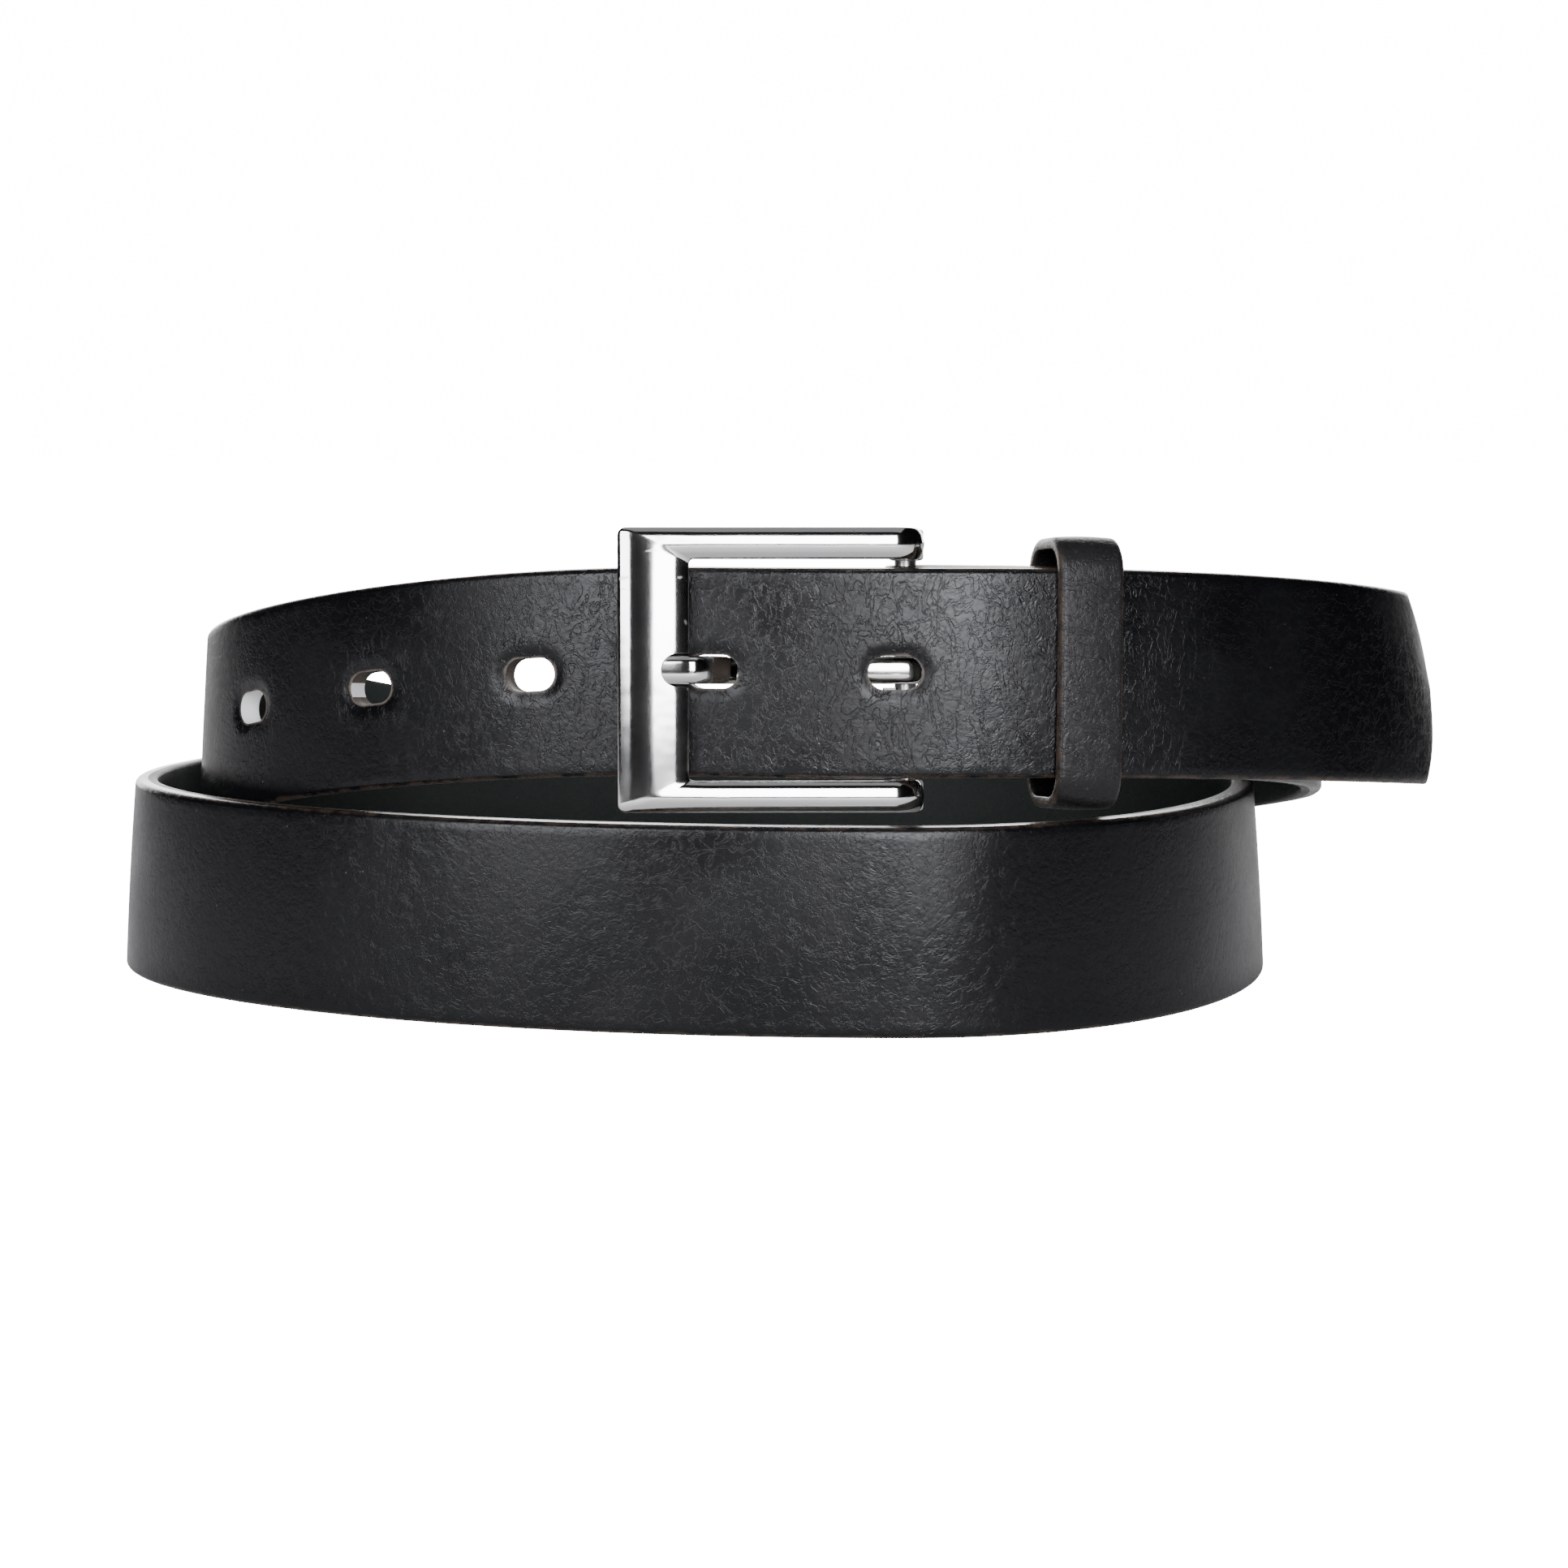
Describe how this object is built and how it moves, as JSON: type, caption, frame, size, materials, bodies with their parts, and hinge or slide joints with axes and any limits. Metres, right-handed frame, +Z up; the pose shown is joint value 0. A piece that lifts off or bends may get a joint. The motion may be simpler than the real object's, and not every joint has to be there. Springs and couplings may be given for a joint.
{
  "type": "leather belt",
  "caption": "Slim black leather dress belt with a nickel frame buckle, prong, keeper and pointed tip, fastened and coiled twice on its edge.",
  "frame": {"origin": "under the middle of the belt's overall box, on the surface that it stands on", "axes": "+Z up, -Y is the front with the buckle, +X points along the front towards the free tip"},
  "size_m": [0.1959, 0.1308, 0.0684],
  "materials": {
    "face_leather": "black grained leather, semi-gloss",
    "lining_leather": "smooth dark grey leather, satin",
    "keeper_leather": "black grained leather, satin",
    "thread": "waxed black sewing thread",
    "nickel": "polished nickel plate",
    "steel": "drawn steel wire"
  },
  "bodies": {
    "strap": {"strap_face": "face_leather", "strap_lining": "lining_leather", "stitches_by_buckle": "thread", "stitches_by_flap_end": "thread"},
    "buckle": {"buckle_frame": "nickel", "heel_bar": "steel"},
    "prong": {"prong": "nickel"},
    "keeper": {"keeper_band": "keeper_leather", "keeper_staple": "steel"}
  },
  "joints": [
    {"name": "frame_swing", "type": "hinge", "parent": "strap", "child": "buckle", "pos_m": [0.01921, -0.04897, 0.04847], "axis": [-0.0024, 0.0871, 0.9962], "range_deg": [0, 75]},
    {"name": "prong_play", "type": "hinge", "parent": "strap", "child": "prong", "pos_m": [0.01921, -0.04897, 0.04847], "axis": [-0.0024, 0.0871, 0.9962], "range_deg": [-0.4, 0.6]},
    {"name": "keeper_slide", "type": "slide", "parent": "strap", "child": "keeper", "axis": [0.9748, 0.221, -0.0291], "range_m": [-0.0015, 0.0015]}
  ]
}
